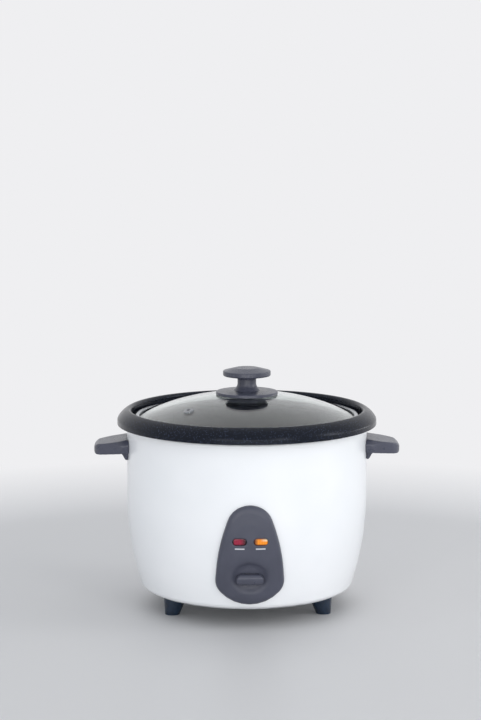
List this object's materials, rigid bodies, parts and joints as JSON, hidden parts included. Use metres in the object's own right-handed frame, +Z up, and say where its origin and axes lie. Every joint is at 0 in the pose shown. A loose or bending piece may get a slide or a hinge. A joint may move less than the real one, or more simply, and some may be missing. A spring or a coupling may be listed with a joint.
{
  "type": "rice cooker",
  "caption": "Drum rice cooker with lift-out pot, wide dark rim, domed glass lid with knob, side handles, front panel with cook lever and lamps.",
  "frame": {"origin": "on the floor under the drum axis, midway between the tips of the handles", "axes": "+Z up along the drum axis, -Y towards the front panel, +X towards the right handle as seen from the front"},
  "size_m": [0.316, 0.268, 0.2489],
  "materials": {
    "body_paint": "gloss white stove enamel on drawn steel",
    "zinc_steel": "zinc-plated sheet steel",
    "stainless": "polished stainless steel",
    "spun_aluminium": "pressed aluminium sheet, satin",
    "cast_aluminium": "die-cast aluminium, turned face",
    "nonstick": "speckled black non-stick coating on aluminium",
    "slate_plastic": "slate grey moulded plastic, satin",
    "foot_plastic": "near-black moulded plastic",
    "inlet_plastic": "black moulded plastic",
    "holder_plastic": "cream heat-proof plastic",
    "switch_plastic": "dark phenolic",
    "thermostat_body": "brown phenolic",
    "dome_glass": "clear tempered glass",
    "red_lens": "translucent red plastic",
    "amber_lens": "translucent amber plastic, lit",
    "lamp_glass": "neon tube glass",
    "contact_brass": "nickelled brass",
    "magnet_alloy": "sintered magnet",
    "ferrite": "dark ferrite",
    "spring_steel": "bright spring wire",
    "lead_sleeve": "glass-fibre sleeving over stranded wire",
    "lamp_wire": "red silicone insulation",
    "earth_wire": "green silicone insulation",
    "gasket_rubber": "soft grey silicone"
  },
  "bodies": {
    "housing": {"body_shell": "body_paint", "base_plate": "zinc_steel", "inner_liner": "spun_aluminium", "heating_plate": "cast_aluminium", "heating_element": "stainless", "support_posts": "zinc_steel", "frame_screws": "zinc_steel", "base_screws": "zinc_steel", "foot_left": "foot_plastic", "foot_right": "foot_plastic", "foot_rear": "foot_plastic", "foot_screws": "zinc_steel", "handle_left": "slate_plastic", "handle_right": "slate_plastic", "handle_screws": "zinc_steel", "front_panel": "slate_plastic", "panel_nuts": "spring_steel", "cook_lens": "red_lens", "warm_lens": "amber_lens", "lamp_holder": "holder_plastic", "lamp_tubes": "lamp_glass", "power_inlet": "inlet_plastic", "inlet_pins": "contact_brass", "lever_bracket": "zinc_steel", "pivot_pin": "stainless", "micro_switch": "switch_plastic", "switch_strap": "zinc_steel", "sensor_bracket": "zinc_steel", "warm_thermostat": "thermostat_body", "supply_leads": "lead_sleeve", "lamp_leads": "lamp_wire", "earth_lead": "earth_wire"},
    "pot": {"inner_pot": "nonstick"},
    "lid": {"lid_glass": "dome_glass", "lid_band": "stainless", "steam_vent": "stainless", "lid_knob": "slate_plastic", "knob_gasket": "gasket_rubber", "knob_screw": "stainless"},
    "lever": {"lever_arm": "zinc_steel", "cook_lever": "slate_plastic"},
    "magnet_unit": {"magnet": "magnet_alloy", "plunger": "zinc_steel", "magnet_spring": "spring_steel"},
    "sensor": {"sensor_cap": "spun_aluminium", "sensor_ferrite": "ferrite", "sensor_spring": "spring_steel"}
  },
  "joints": [
    {"name": "pot_lift", "type": "slide", "parent": "housing", "child": "pot", "axis": [0, 0, 1], "range_m": [0, 0.16]},
    {"name": "lid_lift", "type": "slide", "parent": "pot", "child": "lid", "axis": [0, 0, 1], "range_m": [0, 0.15]},
    {"name": "lever_press", "type": "hinge", "parent": "housing", "child": "lever", "pos_m": [0, -0.07, 0.042], "axis": [1, 0, 0], "range_deg": [0, 5], "stiffness_Nm_per_rad": 0.3, "springref_deg": -9.74},
    {"name": "magnet_lift", "type": "slide", "parent": "housing", "child": "magnet_unit", "axis": [0, 0, 1], "range_m": [0, 0.0062], "deforming": ["magnet_spring"]},
    {"name": "sensor_rise", "type": "slide", "parent": "housing", "child": "sensor", "axis": [0, 0, 1], "range_m": [0, 0.003], "deforming": ["sensor_spring"]}
  ],
  "couplings": [
    {"joint": "magnet_lift", "follows": "lever_press", "m_per_rad": 0.07},
    {"joint": "sensor_rise", "follows": "pot_lift", "ratio": 0.01875}
  ]
}
